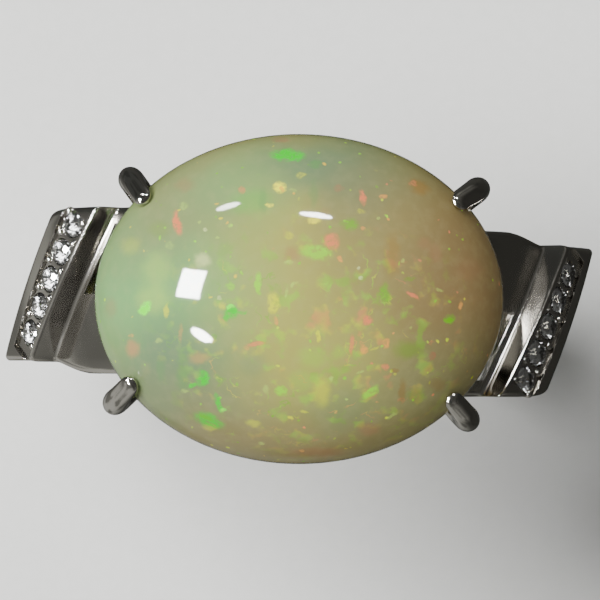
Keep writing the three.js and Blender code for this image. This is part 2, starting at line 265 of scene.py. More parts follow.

# %% [markdown]
# The ring's metal is a white gold casting with a thin rhodium plate: sawn, filed, polished on a felt wheel,
# then worn. Polish leaves it a dark mirror with pale edges. The wheel leaves hairs about 0.03 mm wide, drawn
# here at 0.12 mm so that they show, and wearing leaves soft dull patches a few millimetres wide. The colour
# darkens in the corners that ambient occlusion finds: partly grime, partly painted shade. Casting and
# polishing round every edge a little, which the Bevel node gives to the light without changing the mesh.

# %% Rhodium-plated white gold
HAIR_WIDTH = 0.12
HAIR_LENGTH = 3.0
WEAR_PATCH = 2.5
EDGE_ROUNDING = 0.06
CORNER_REACH = 0.5
BRIGHT_PLATE = "#cfccc6"
WORN_PLATE = "#c2bfb8"
CORNER_SHADE_AND_GRIME = "#8d897f"


def rhodium_plate():
    material, tree = new_material("polished_rhodium_plated_white_gold")
    where = millimetres(tree)
    stretch = (1 / HAIR_WIDTH, 1 / HAIR_LENGTH, 1 / HAIR_WIDTH)
    along = add(tree, "ShaderNodeVectorMath", {0: where, 1: stretch}, operation="MULTIPLY")
    hairs = add(tree, "ShaderNodeTexNoise", {"Vector": along, "Scale": 1.0, "Detail": 2.0})
    wear = add(tree, "ShaderNodeTexNoise", {"Vector": where, "Scale": 1 / WEAR_PATCH, "Detail": 4.0})
    dulled = {"Value": wear, "From Min": 0.35, "From Max": 0.7, "To Min": 0.06, "To Max": 0.18}
    roughness = add(tree, "ShaderNodeMapRange", dulled)
    # painted shade, partly grime: the plate colour darkens where ambient occlusion finds corners
    corner = {"Distance": CORNER_REACH * MM}
    open_share = add(tree, "ShaderNodeAmbientOcclusion", corner, out="AO", samples=16)
    unshaded_and_clean = add(tree, "ShaderNodeMapRange", {"Value": open_share, "From Min": 0.2, "From Max": 0.75})
    worn = {"Factor": wear, "A": linear(BRIGHT_PLATE), "B": linear(WORN_PLATE)}
    plate = add(tree, "ShaderNodeMix", worn, data_type="RGBA")
    shade_and_grime = {"Factor": unshaded_and_clean, "A": linear(CORNER_SHADE_AND_GRIME), "B": plate}
    colour = add(tree, "ShaderNodeMix", shade_and_grime, data_type="RGBA")
    rounded = add(tree, "ShaderNodeBevel", {"Radius": EDGE_ROUNDING * MM}, samples=4)
    relief = {"Height": hairs, "Strength": 0.03, "Distance": 0.01 * MM, "Normal": rounded}
    hair_relief = add(tree, "ShaderNodeBump", relief)
    skin = {"Base Color": colour, "Metallic": 1.0, "Roughness": roughness, "Normal": hair_relief}
    surface = add(tree, "ShaderNodeBsdfPrincipled", skin)
    add(tree, "ShaderNodeOutputMaterial", {"Surface": surface})
    return material


metal = rhodium_plate()

# %% [markdown]
# Meshes are skinned from loops of points, as a jeweller's wax is drawn from sections. A hoop's
# last loop joins its first; a rod is closed by a cap at each end. Cutting and joining is done by
# Boolean modifiers, which are applied at once so that the finished mesh is plain.


# %% Skinning, cutting and placing
def skin_loops(name, loops, hoop=False):
    """A mesh object in millimetres, skinned over loops with the same number of points each."""
    rows, sides = len(loops), len(loops[0])
    faces = [
        (a * sides + j, a * sides + (j + 1) % sides, b * sides + (j + 1) % sides, b * sides + j)
        for a, b in [(n, (n + 1) % rows) for n in range(rows if hoop else rows - 1)]
        for j in range(sides)
    ]
    if not hoop:
        faces += [tuple(range(sides))[::-1], tuple(range((rows - 1) * sides, rows * sides))]
    mesh = bpy.data.meshes.new(name)
    mesh.from_pydata([tuple(point) for loop in loops for point in loop], [], faces)
    shell = bmesh.new()
    shell.from_mesh(mesh)
    bmesh.ops.recalc_face_normals(shell, faces=shell.faces)
    if shell.calc_volume(signed=True) < 0:
        bmesh.ops.reverse_faces(shell, faces=shell.faces)
    shell.to_mesh(mesh)
    shell.free()
    piece = bpy.data.objects.new(name, mesh)
    bpy.context.scene.collection.objects.link(piece)
    return piece


def combine(piece, others, operation="DIFFERENCE"):
    """Cuts the others out of the piece, or joins them to it, and removes them."""
    for other in others:
        step = piece.modifiers.new("combine", "BOOLEAN")
        step.object = other
        step.operation = operation
        step.solver = "MANIFOLD"
    bpy.context.view_layer.update()
    shaped = piece.evaluated_get(bpy.context.evaluated_depsgraph_get())
    old = piece.data
    mesh = bpy.data.meshes.new_from_object(shaped)
    piece.modifiers.clear()
    piece.data = mesh
    mesh.name = piece.name
    bpy.data.meshes.remove(old)
    for other in others:
        spare = other.data
        bpy.data.objects.remove(other)
        bpy.data.meshes.remove(spare)
    return piece


def turned(piece, matrix):
    """A copy of the piece, moved by the matrix in millimetres."""
    copy = bpy.data.objects.new(piece.name + "_copy", piece.data.copy())
    copy.data.transform(matrix)
    bpy.context.scene.collection.objects.link(copy)
    return copy


def place_piece(piece, material, nodes, smooth_below=35):
    """Turns the mesh to metres, gives it its finish and lets it stand for its solids."""
    piece.data.transform(Matrix.Scale(MM, 4))
    piece.data.materials.clear()
    piece.data.materials.append(material)
    piece.data.shade_smooth()
    piece.data.set_sharp_from_angle(angle=math.radians(smooth_below))
    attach(piece, "root")
    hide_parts(*nodes)
    print(piece.name, "has", len(piece.data.polygons), "faces")
    return piece


HALF_TURN = Matrix.Rotation(math.pi, 4, "Z")

# %% [markdown]
# The opal is a cabochon: ground to an oval dome on a wheel and polished until it reflects like
# glass. A lathe profile squeezed to an oval gives it exactly. The dome is an ellipse, and the
# back is shallower and fuller, with a narrow upright girdle between the two.

# %% Opal's shape
BASE = 1.6
BASE_FULLNESS = 2 / 2.4
GIRDLE = 0.25


def opal_shape(name, around=192, grow=0.0):
    dome = [
        (math.cos(t), GIRDLE / 2 + (DOME + grow) * math.sin(t))
        for t in np.linspace(0, math.pi / 2, 56)[:-1]
    ]
    back = [
        (math.sin(t) ** BASE_FULLNESS, -GIRDLE / 2 - (BASE + grow) * math.cos(t) ** BASE_FULLNESS)
        for t in np.linspace(0.02, math.pi / 2, 28)
    ]
    loops = []
    for radius, height in back + dome:
        turn = np.linspace(0, 2 * math.pi, around, endpoint=False)
        x = radius * (STONE_LENGTH / 2 + grow) * np.cos(turn)
        y = radius * (STONE_WIDTH / 2 + grow) * np.sin(turn)
        loops.append(np.column_stack([x, y, np.full(around, GIRDLE_HEIGHT + height)]))
    return skin_loops(name, loops)


opal = opal_shape("polished_opal")

# %% [markdown]
# The opal's body is milky hydrated silica with a refractive index of 1.45. Its body colour drifts in clouds:
# jade at the left, straw in the middle, fawn at the right. In it hang flakes of play of colour, where tiny
# spheres of silica lie in order and send one pure colour back. They are brighter than any dye, so the flakes
# are given a little painted glow, an emission that stands in for that light. Clouds share six body colours.
# Over them lie veils, which are soft flakes deep in the stone, and flakes near its surface. All are placed as
# ovals seen from above, in millimetres from the opal's middle.

# %% Opal's colours
JADE = "#74a868"
SEA = "#658262"
STRAW = "#a3a254"
OLIVE = "#83835a"
FAWN = "#8a7d52"
UMBER = "#85704c"

GREEN = "#1cc414"
SPRING = "#6dff06"
LEAF = "#69ad1a"
LIME = "#8ad806"
MOSS = "#729332"
FLECK = "#5d9252"
PALE = "#b3d652"
CREAM = "#ccd68e"
STRAW_GOLD = "#cacf06"
GOLD = "#f4ec10"
PEACH = "#dc9844"
SALMON = "#da7a50"
AMBER = "#966e32"
ROSE = "#a06c50"
TAN = "#886436"

# middle's x and y, half length, half width, turn in degrees, colour, strength
CLOUDS = [
    (0.0, 0.4, 5.2, 4.4, 0, STRAW, 0.9),
    (-4.6, 0.6, 2.6, 3.2, 0, JADE, 0.9),
    (-4.9, 0.9, 1.3, 1.6, 0, JADE, 0.6),
    (-3.6, 3.0, 2.6, 1.5, 35, OLIVE, 0.7),
    (-1.6, 3.6, 1.8, 1.1, 10, JADE, 0.5),
    (1.5, 3.9, 2.4, 1.1, -12, SEA, 0.9),
    (-3.6, -2.5, 1.8, 1.6, 0, SEA, 0.9),
    (-2.0, -3.9, 2.6, 1.2, -20, OLIVE, 0.8),
    (3.2, 1.4, 2.4, 3.0, 0, FAWN, 0.8),
    (5.4, -0.4, 2.0, 4.2, 0, UMBER, 0.95),
    (3.6, -3.2, 2.6, 1.6, 30, OLIVE, 0.7),
    (0.3, -4.6, 4.0, 0.9, 0, FAWN, 0.8),
    (0.4, -2.2, 2.0, 1.8, 0, STRAW, 0.6),
    (1.3, -3.5, 1.1, 0.8, 0, SEA, 0.4),
    (1.7, 2.6, 1.0, 0.8, 0, OLIVE, 0.4),
]

VEILS = [
    (-4.4, 0.83, 0.45, 0.5, 0, PALE, 0.3),
    (-4.5, -0.07, 0.5, 0.4, 0, PALE, 0.35),
    (-2.95, 1.12, 0.22, 0.2, 0, CREAM, 0.6),
    (-3.55, 3.5, 0.3, 0.2, 0, ROSE, 0.25),
    (-4.35, 2.09, 0.3, 0.25, 0, MOSS, 0.3),
    (-5.25, 1.6, 0.3, 0.25, 0, STRAW_GOLD, 0.2),
    (-5.9, -0.34, 0.2, 0.3, 0, ROSE, 0.25),
    (-5.2, -1.6, 0.2, 0.25, 0, SALMON, 0.4),
    (-1.5, 2.92, 0.6, 0.35, 8, GREEN, 0.2),
    (-1.1, 2.92, 0.12, 0.35, 0, FLECK, 0.4),
    (0.45, 3.12, 0.12, 0.4, 0, FLECK, 0.3),
    (-0.2, 1.26, 0.25, 0.2, 0, ROSE, 0.4),
    (3.75, 3.45, 0.3, 0.2, -25, AMBER, 0.5),
    (2.85, 1.27, 0.2, 0.6, 0, AMBER, 0.35),
    (3.85, 1.63, 0.2, 0.2, 0, ROSE, 0.25),
    (4.2, 1.33, 0.2, 0.25, 0, ROSE, 0.25),
    (5.3, 0.85, 0.4, 0.3, 0, ROSE, 0.15),
    (3.4, -1.63, 0.45, 0.25, 0, MOSS, 0.6),
    (2.2, -4.1, 0.3, 0.2, 0, ROSE, 0.4),
    (4.3, -2.7, 0.25, 0.2, 0, TAN, 0.3),
    (3.2, -2.92, 0.12, 0.3, 0, TAN, 0.5),
    (3.6, -3.06, 0.25, 0.2, 0, MOSS, 0.4),
    (0.7, -2.93, 0.25, 0.4, 0, STRAW_GOLD, 0.5),
    (0.2, -3.18, 0.18, 0.15, 0, LIME, 0.35),
    (0.4, -1.89, 0.4, 0.28, 0, LIME, 0.25),
    (0.1, -2.59, 0.35, 0.3, 0, LIME, 0.22),
    (1.2, -1.74, 0.2, 0.18, 0, LIME, 0.25),
    (-1.4, -2.09, 0.4, 0.3, 0, SEA, 0.3),
    (0.5, -4.84, 0.8, 0.15, 0, ROSE, 0.35),
    (-3.05, -1.88, 0.3, 0.15, 0, PEACH, 0.3),
    (-4.3, -2.26, 0.12, 0.35, 0, FLECK, 0.35),
    (-3.6, -2.57, 0.2, 0.3, 0, FLECK, 0.5),
    (-0.55, 4.97, 0.25, 0.08, 0, ROSE, 0.5),
    (-1.4, -3.91, 0.2, 0.12, 0, STRAW_GOLD, 0.45),
    (-2.75, -4.05, 0.2, 0.1, 0, STRAW_GOLD, 0.4),
]

FLAKES = [
    (-3.78, 2.28, 0.13, 0.36, 10, SALMON, 0.9),
    (-3.6, 2.81, 0.14, 0.12, 0, PALE, 0.35),
    (-4.0, 1.58, 0.15, 0.12, 0, PALE, 0.3),
    (-3.05, 2.33, 0.06, 0.06, 0, PALE, 0.4),
    (-2.87, 2.07, 0.07, 0.07, 0, CREAM, 0.7),
    (-2.5, 1.79, 0.06, 0.05, 0, PALE, 0.45),
    (-2.1, 2.16, 0.06, 0.06, 0, PALE, 0.45),
    (-1.75, 3.31, 0.1, 0.12, 0, SALMON, 0.5),
    (-4.75, -0.32, 0.15, 0.22, -35, SPRING, 1.0),
    (-4.1, -0.43, 0.08, 0.22, -12, STRAW_GOLD, 0.7),
    (-5.2, -1.2, 0.1, 0.06, 0, PEACH, 0.5),
    (-4.35, -1.37, 0.1, 0.06, 0, PALE, 0.4),
    (-3.65, -1.13, 0.06, 0.25, 0, PEACH, 0.3),
    (-2.65, -1.34, 0.12, 0.1, 0, STRAW_GOLD, 0.6),
    (-2.4, -0.04, 0.06, 0.06, 0, CREAM, 0.8),
    (-2.35, -0.29, 0.1, 0.15, 0, STRAW_GOLD, 0.6),
    (-2.05, -0.51, 0.2, 0.2, 0, GREEN, 0.95),
    (-2.25, -0.69, 0.12, 0.08, 40, GREEN, 0.7),
    (-1.72, -0.49, 0.14, 0.05, 10, GREEN, 0.6),
    (-2.1, -0.34, 0.12, 0.07, 0, SPRING, 0.8),
    (-2.1, 0.31, 0.13, 0.12, 0, LIME, 0.6),
    (-0.35, 4.42, 0.5, 0.17, -3, GREEN, 1.0),
    (0.5, 4.14, 0.2, 0.15, 0, FLECK, 0.7),
    (0.05, 3.76, 0.15, 0.09, 0, STRAW_GOLD, 0.5),
    (-0.6, 3.35, 0.2, 0.17, 0, GOLD, 1.0),
    (-0.52, 3.29, 0.07, 0.1, 30, PEACH, 0.6),
    (-0.9, 2.8, 0.12, 0.07, 0, GOLD, 0.8),
    (-0.2, 3.27, 0.1, 0.06, 0, PALE, 0.3),
    (1.2, 3.33, 0.12, 0.14, 0, ROSE, 0.45),
    (1.95, 3.08, 0.08, 0.24, 12, SALMON, 0.9),
    (1.87, 2.62, 0.12, 0.08, 0, STRAW_GOLD, 0.4),
    (1.57, 2.19, 0.27, 0.18, 0, LEAF, 0.7),
    (1.98, 2.07, 0.08, 0.06, 0, PEACH, 0.6),
    (0.47, 2.33, 0.18, 0.12, 0, GOLD, 0.65),
    (1.0, 1.66, 0.22, 0.22, 0, SALMON, 0.8),
    (0.5, 1.34, 0.45, 0.2, -10, LIME, 0.7),
    (1.27, 1.13, 0.08, 0.1, 0, PEACH, 0.8),
    (-0.3, 1.86, 0.14, 0.12, 0, STRAW_GOLD, 0.5),
    (-0.3, 1.0, 0.12, 0.08, 0, PALE, 0.5),
    (-1.25, 0.35, 0.1, 0.33, 5, LIME, 0.85),
    (-0.78, -0.25, 0.17, 0.3, 10, STRAW_GOLD, 0.8),
    (-0.15, 0.35, 0.14, 0.05, 20, PALE, 0.5),
    (-0.4, 0.1, 0.05, 0.14, 0, PALE, 0.5),
    (1.8, 0.84, 0.05, 0.05, 0, CREAM, 0.6),
    (1.92, 0.54, 0.05, 0.05, 0, CREAM, 0.6),
    (2.6, 3.1, 0.12, 0.06, 0, PEACH, 0.7),
    (3.55, 3.55, 0.14, 0.08, 0, SALMON, 0.5),
    (3.4, 0.54, 0.2, 0.07, 0, MOSS, 0.6),
    (3.5, 0.02, 0.2, 0.07, -35, SALMON, 0.8),
    (2.65, 0.06, 0.15, 0.32, 0, LEAF, 0.7),
    (4.3, 0.2, 0.12, 0.05, 0, PALE, 0.35),
    (5.0, -0.26, 0.07, 0.15, 0, PEACH, 0.7),
    (4.65, -0.69, 0.16, 0.13, 0, LEAF, 1.0),
    (2.08, -0.74, 0.14, 0.14, 0, SALMON, 0.9),
    (2.65, -1.44, 0.12, 0.12, 0, PEACH, 0.9),
    (2.0, -1.67, 0.1, 0.13, 0, PEACH, 0.85),
    (2.3, -1.59, 0.14, 0.05, 30, STRAW_GOLD, 0.6),
    (1.6, -1.49, 0.07, 0.3, 0, SALMON, 0.7),
    (4.1, -1.84, 0.1, 0.12, 0, ROSE, 0.7),
    (2.62, -2.18, 0.12, 0.1, 0, SALMON, 0.7),
    (2.95, -2.28, 0.12, 0.08, 0, TAN, 0.5),
    (2.95, -2.41, 0.05, 0.05, 0, STRAW_GOLD, 0.6),
    (1.87, -2.35, 0.12, 0.05, 0, PALE, 0.5),
    (2.2, -2.94, 0.25, 0.12, 35, LIME, 0.8),
    (2.9, -3.71, 0.2, 0.05, 35, PALE, 0.4),
    (2.45, 2.42, 0.05, 0.05, 0, PALE, 0.5),
    (3.2, 1.07, 0.05, 0.05, 0, PALE, 0.4),
    (3.4, -0.98, 0.05, 0.05, 0, PALE, 0.4),
    (-0.67, -0.77, 0.06, 0.13, 0, PEACH, 0.7),
    (-1.3, -1.47, 0.3, 0.08, 8, SALMON, 0.7),
    (-1.6, -1.59, 0.1, 0.06, 0, PEACH, 0.6),
    (0.58, -1.22, 0.07, 0.18, 0, STRAW_GOLD, 0.85),
    (-0.55, -2.91, 0.18, 0.16, 0, LIME, 0.8),
    (-1.0, -2.88, 0.1, 0.15, 0, PALE, 0.4),
    (0.97, -2.54, 0.08, 0.07, 0, PALE, 0.6),
    (-0.25, -3.72, 0.06, 0.06, 0, STRAW_GOLD, 0.8),
    (0.2, -3.57, 0.12, 0.05, 0, STRAW_GOLD, 0.6),
    (-1.18, -4.55, 0.08, 0.07, 0, PALE, 0.45),
    (0.08, -4.79, 0.06, 0.05, 0, PEACH, 0.6),
    (1.45, -3.18, 0.05, 0.05, 0, PALE, 0.6),
    (-2.95, -2.52, 0.2, 0.22, 0, GREEN, 0.95),
    (-3.3, -2.72, 0.16, 0.07, 25, GREEN, 0.8),
    (-2.5, -3.27, 0.09, 0.3, 15, GREEN, 0.9),
    (-2.35, -3.51, 0.12, 0.07, 0, SPRING, 0.6),
    (-2.8, -3.83, 0.45, 0.2, -20, GREEN, 0.8),
    (-2.9, -3.73, 0.25, 0.08, -20, LEAF, 0.6),
    (-3.55, -2.91, 0.1, 0.08, 0, PALE, 0.35),
]


def paint_ovals(tree, where, colour, ovals, softness, pattern=None):
    """Lays ovals of colour over a colour, one by one; a pattern can thin them."""
    for x, y, long_half, short_half, turn, tint, strength in ovals:
        oval = {
            "Vector": where,
            "Location": (x, y, 0),
            "Rotation": (0, 0, math.radians(turn)),
            "Scale": (2 * long_half, 2 * short_half, COLUMN),
        }
        local = add(tree, "ShaderNodeMapping", oval, vector_type="TEXTURE")
        # 1 in the middle, a half on the oval's outline and 0 at twice its size
        ball = add(tree, "ShaderNodeTexGradient", {"Vector": local}, out="Fac", gradient_type="SPHERICAL")
        soft = softness / 4
        edge = {"Value": ball, "From Min": 0.5 - soft, "From Max": 0.5 + soft, "To Max": strength}
        share = add(tree, "ShaderNodeMapRange", edge, interpolation_type="SMOOTHSTEP")
        if pattern is not None:
            share = add(tree, "ShaderNodeMath", {0: share, 1: pattern}, operation="MULTIPLY")
        layer = {"Factor": share, "A": colour, "B": linear(tint)}
        colour = add(tree, "ShaderNodeMix", layer, data_type="RGBA")
    return colour


def warp(tree, where, size, amount):
    """Pushes places about by noise of one size, so that outlines turn ragged."""
    noise = add(tree, "ShaderNodeTexNoise", {"Vector": where, "Scale": 1 / size, "Detail": 2.0}, out="Color")
    centred = add(tree, "ShaderNodeVectorMath", {0: noise, 1: (0.5, 0.5, 0.5)}, operation="SUBTRACT")
    push = add(tree, "ShaderNodeVectorMath", {0: centred, "Scale": 2 * amount}, operation="SCALE")
    return add(tree, "ShaderNodeVectorMath", {0: where, 1: push}, operation="ADD")


# %% [markdown]
# Between the large flakes the whole stone is full of small ones. Soft mottles, about 0.5 mm wide,
# are noise that lights up only where it is high. Lace is the thin line where noise crosses its
# middle value, and it looks like crumpled foil. Pinfire comes from a Voronoi texture, which
# breaks space into grains as the ordered patches of silica do: a few grains of 0.16 mm light up
# round their middles. Each takes a colour by chance, greener at the left and redder at the right.

# %% Opal's small flakes
# size in millimetres, shift that makes the noise its own, its low and high value, top share, detail
MOTTLES = (0.55, 7.0, 0.52, 0.68, 0.42, 2.0)
MOTTLE_HUES = (1.1, 31.0, 0.3, 0.7, 1.0, 2.0)
LACE_PATCHES = (0.8, 71.0, 0.55, 0.66, 0.45, 2.0)
LACE_HUES = (0.9, 97.0, 0.35, 0.65, 1.0, 2.0)
MIST = (0.35, 13.0, 0.4, 0.75, 0.1, 3.0)
CRUMPLES = (0.14, 19.0, 0.32, 0.55, 1.0, 1.0)
LACE = 0.5
PINFIRE = 0.16
THICK_MIDDLE = (0.3, -1.2)
THICK_HALVES = (5.6, 4.2)
FIRE = [(0.0, LEAF), (0.4, LIME), (0.72, STRAW_GOLD), (0.9, PEACH), (1.0, SALMON)]
MILK_DARK = "#7d794a"
MILK_PALE = "#938e5c"
MIST_COLOUR = "#b3ae78"
SMOOTH = {"interpolation_type": "SMOOTHSTEP"}


def grain_noise(tree, where, size, shift=0.0, detail=2.0):
    """Noise of one grain size, shifted so that it is unlike the others."""
    moved = add(tree, "ShaderNodeVectorMath", {0: where, 1: (shift, shift, shift)}, operation="ADD")
    return add(tree, "ShaderNodeTexNoise", {"Vector": moved, "Scale": 1 / size, "Detail": detail})


def patches(tree, where, kind):
    """Runs smoothly from 0 where a noise is low to the top share where it is high."""
    size, shift, low, high, top, detail = kind
    noise = grain_noise(tree, where, size, shift, detail)
    spread = {"Value": noise, "From Min": low, "From Max": high, "To Max": top}
    return add(tree, "ShaderNodeMapRange", spread, **SMOOTH)


def lay_fire(tree, colour, shares, hue, where):
    """Lays fire over a colour where all the shares are high; its hue shifts along the stone."""
    share = shares[0]
    for other in shares[1:]:
        share = add(tree, "ShaderNodeMath", {0: share, 1: other}, operation="MULTIPLY")
    across = add(tree, "ShaderNodeSeparateXYZ", {"Vector": where}, out="X")
    drift = {"Value": across, "From Min": -6.0, "From Max": 6.0, "To Min": -0.25, "To Max": 0.2}
    shift = add(tree, "ShaderNodeMapRange", drift)
    shifted = add(tree, "ShaderNodeMath", {0: hue, 1: shift}, operation="ADD")
    fire = add(tree, "ShaderNodeValToRGB", {"Fac": shifted}, out="Color")
    ramp = fire.node.color_ramp
    ramp.elements[0].color, ramp.elements[1].color = linear(FIRE[0][1]), linear(FIRE[-1][1])
    for stop, tint in FIRE[1:-1]:
        ramp.elements.new(stop).color = linear(tint)
    return add(tree, "ShaderNodeMix", {"Factor": share, "A": colour, "B": fire}, data_type="RGBA")


def paint_small_flakes(tree, where, colour):
    # mottles and lace lie thickest in the middle and lower part of the stone
    oval = {"Vector": where, "Location": (*THICK_MIDDLE, 0), "Scale": (*THICK_HALVES, COLUMN)}
    local = add(tree, "ShaderNodeMapping", oval, vector_type="TEXTURE")
    reach = add(tree, "ShaderNodeVectorMath", {0: local}, out="Value", operation="LENGTH")
    inward = {"Value": reach, "From Min": 1.05, "From Max": 0.5}
    thick = add(tree, "ShaderNodeMapRange", inward, **SMOOTH)

    ragged = warp(tree, where, 0.3, 0.12)
    mottle = patches(tree, ragged, MOTTLES)
    hue = patches(tree, where, MOTTLE_HUES)
    colour = lay_fire(tree, colour, [mottle, thick], hue, where)

    lace = grain_noise(tree, ragged, LACE, 53.0)
    crossing = add(tree, "ShaderNodeMath", {0: lace, 1: 0.5}, operation="SUBTRACT")
    off = add(tree, "ShaderNodeMath", {0: crossing}, operation="ABSOLUTE")
    thin = {"Value": off, "From Min": 0.03, "From Max": 0.005}
    line = add(tree, "ShaderNodeMapRange", thin, **SMOOTH)
    patch = patches(tree, where, LACE_PATCHES)
    hue = patches(tree, where, LACE_HUES)
    colour = lay_fire(tree, colour, [line, patch, thick], hue, where)

    cell = add(tree, "ShaderNodeTexVoronoi", {"Vector": ragged, "Scale": 1 / PINFIRE}, out="Color")
    chance = add(tree, "ShaderNodeSeparateColor", {"Color": cell}, out="Red")
    hue = add(tree, "ShaderNodeSeparateColor", {"Color": cell}, out="Green")
    distance = cell.node.outputs["Distance"]
    middle = {"Value": distance, "From Min": 0.45, "From Max": 0.15, "To Max": 0.9}
    inside = add(tree, "ShaderNodeMapRange", middle, **SMOOTH)
    few = {"Value": chance, "From Min": 0.955, "From Max": 0.985}
    lit = add(tree, "ShaderNodeMapRange", few, **SMOOTH)
    return lay_fire(tree, colour, [lit, inside], hue, where)


def precious_opal():
    material, tree = new_material("polished_precious_opal")
    where = millimetres(tree)
    cloudy = warp(tree, where, 2.2, 0.7)
    ragged = warp(tree, warp(tree, where, 0.4, 0.13), 0.12, 0.04)
    milk = grain_noise(tree, where, 0.9, 0.0, 5.0)
    milky = {"Factor": milk, "A": linear(MILK_DARK), "B": linear(MILK_PALE)}
    colour = add(tree, "ShaderNodeMix", milky, data_type="RGBA")
    colour = paint_ovals(tree, cloudy, colour, CLOUDS, 1.4)
    misty = {"Factor": patches(tree, where, MIST), "A": colour, "B": linear(MIST_COLOUR)}
    body = add(tree, "ShaderNodeMix", misty, data_type="RGBA")
    colour = paint_small_flakes(tree, where, body)
    colour = paint_ovals(tree, ragged, colour, VEILS, 1.2)
    crumpled = patches(tree, ragged, CRUMPLES)
    folds = add(tree, "ShaderNodeMapRange", {"Value": crumpled, "To Min": 0.5})
    colour = paint_ovals(tree, ragged, colour, FLAKES, 0.8, folds)
    # what differs most from the body is the purest fire, and gets the most painted glow, an emission standing
    # in for its bright light
    purity = add(tree, "ShaderNodeVectorMath", {0: colour, 1: body}, out="Value", operation="DISTANCE")
    painted_glow = {"Value": purity, "From Min": 0.0, "From Max": 0.4, "To Max": 0.2}
    light = add(tree, "ShaderNodeMapRange", painted_glow, **SMOOTH)
    skin = {
        "Base Color": colour,
        "Roughness": 0.05,
        "IOR": 1.45,
        "Subsurface Weight": 0.15,
        "Subsurface Radius": (1.0, 0.9, 0.6),
        "Subsurface Scale": 0.6 * MM,
        "Emission Color": colour,
        "Emission Strength": light,
    }
    surface = add(tree, "ShaderNodeBsdfPrincipled", skin)
    add(tree, "ShaderNodeOutputMaterial", {"Surface": surface})
    return material


place_piece(opal, precious_opal(), ["opal"])

# %% [markdown]
# The shank is one casting. Its sections step round the finger, and towards the shoulders each
# leans over, so that the group of sections that makes the diamond ridge crosses the band from
# edge to edge. The right shoulder is the left one turned half round. The fine mesh follows the
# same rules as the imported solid, with many more sections, and its edges are rolled, not cut.

# %% Shank's sections
FINGER_RADIUS = 8.5
HOLE_HEIGHT = 10.0
SHANK = {"sole": 10.6, "side": 9.65, "deck": 10.3, "crown": 0.25, "edge": 0.22}
BAND = {"sole_half": 1.3, "shoulder_half": 1.93, "start": -60.0, "end": 24.0}
FAR_FLARE = {"extra": 1.22, "start": 24.0, "end": 46.0}
NEAR_FLARE = {"extra": 0.45, "start": 33.0, "end": 47.0}
RIDGE = {"angle": 37.1, "slant": 3.5, "top": 11.2, "bed": 11.08, "half": 0.9, "bevel": 0.1}
DEGREES_ACROSS = math.degrees(math.hypot(1, math.radians(RIDGE["slant"]) * RIDGE["top"]) / RIDGE["top"])


def smoothstep(value, low, high):
    share = min(max((value - low) / (high - low), 0.0), 1.0)
    return share * share * (3 - 2 * share)


def mix(a, b, share):
    return a + (b - a) * share


def reach_of_band(angle, climbs):
    """How far the band reaches to an edge; each shoulder flares more where its ridge climbs to."""
    flare = FAR_FLARE if climbs else NEAR_FLARE
    plain = mix(BAND["sole_half"], BAND["shoulder_half"], smoothstep(angle, BAND["start"], BAND["end"]))
    return plain + flare["extra"] * smoothstep(angle, flare["start"], flare["end"])


def lean(angle, side):
    """Degrees that a section turns about the finger for each millimetre along it."""
    return side * RIDGE["slant"] * smoothstep(angle, 2, 30)


def edge_of_band(angle, side, edge):
    climbs = edge == side
    y = edge * reach_of_band(angle, climbs)
    for _ in range(30):
        y = edge * reach_of_band(angle + lean(angle, side) * y, climbs)
    return y


def plain_station(angle):
    rise = smoothstep(angle, -80, -10)
    to_shoulder = smoothstep(angle, 8, 32)
    radius = mix(SHANK["sole"], SHANK["side"], rise) + (SHANK["deck"] - SHANK["side"]) * to_shoulder
    return angle, radius, SHANK["crown"] * (1 - to_shoulder)


def ridge_stations():
    """Sections over the ridge: up its wall, round its rolled edge, over its top and down."""
    half, roll = RIDGE["half"], RIDGE["bevel"]
    rolled = [
        (half - roll + roll * math.sin(t), RIDGE["top"] - roll + roll * math.cos(t))
        for t in np.linspace(0, math.pi / 2, 5)
    ]
    deck = SHANK["deck"]
    wall = rolled + [(half + 0.04, deck + 0.08), (half + 0.1, deck + 0.02), (half + 0.16, deck)]
    inner = [(across, RIDGE["top"]) for across in np.linspace(0, half - roll, 8)[:-1]]
    one_side = inner + wall
    both = [(-across, radius) for across, radius in one_side[:0:-1]] + one_side
    return [(RIDGE["angle"] + across * DEGREES_ACROSS, radius, 0.0) for across, radius in both]


def section_outline(station, side):
    """A section as pairs of y and radius, with rolled edges outside and eased ones inside."""
    angle, radius, crown = station
    low, high = edge_of_band(angle, side, -1), edge_of_band(angle, side, 1)
    middle, half, edge = (low + high) / 2, (high - low) / 2, SHANK["edge"]
    quarter = np.linspace(0, math.pi / 2, 6)
    across = np.linspace(-1, 1, 17)
    side_radius = radius - crown
    outside = [(middle + s * (half - edge), radius - crown * s * s) for s in across[:-1]]
    rolled = [
        (middle + half - edge + edge * math.sin(t), side_radius - edge + edge * math.cos(t))
        for t in quarter
    ]
    eased = [
        (middle + half - edge + edge * math.cos(t), FINGER_RADIUS + edge - edge * math.sin(t))
        for t in quarter
    ]
    inside = [(middle - s * (half - edge), FINGER_RADIUS) for s in across[1:-1]]
    mirror = [(2 * middle - y, r) for y, r in eased[::-1] + rolled[::-1][:-1]]
    return outside + rolled + eased + inside + mirror


def hoop_point(angle, side, y, radius):
    turn = math.radians(angle + lean(angle, side) * y)
    height = HOLE_HEIGHT + radius * math.sin(turn)
    return (-side * radius * math.cos(turn), y, max(height, 0.0))


def side_loops(side):
    below = [plain_station(angle) for angle in np.linspace(-90, 30, 61)]
    above = [plain_station(angle) for angle in np.linspace(45, 90, 21)]
    stations = below + ridge_stations() + above
    return [[hoop_point(s[0], side, y, r) for y, r in section_outline(s, side)] for s in stations]


left_loops, right_loops = side_loops(1), side_loops(-1)
shank = skin_loops("cast_shank", left_loops + right_loops[1:-1][::-1], hoop=True)
print("shank's sections:", len(left_loops) + len(right_loops) - 2, "of", len(left_loops[0]), "points")

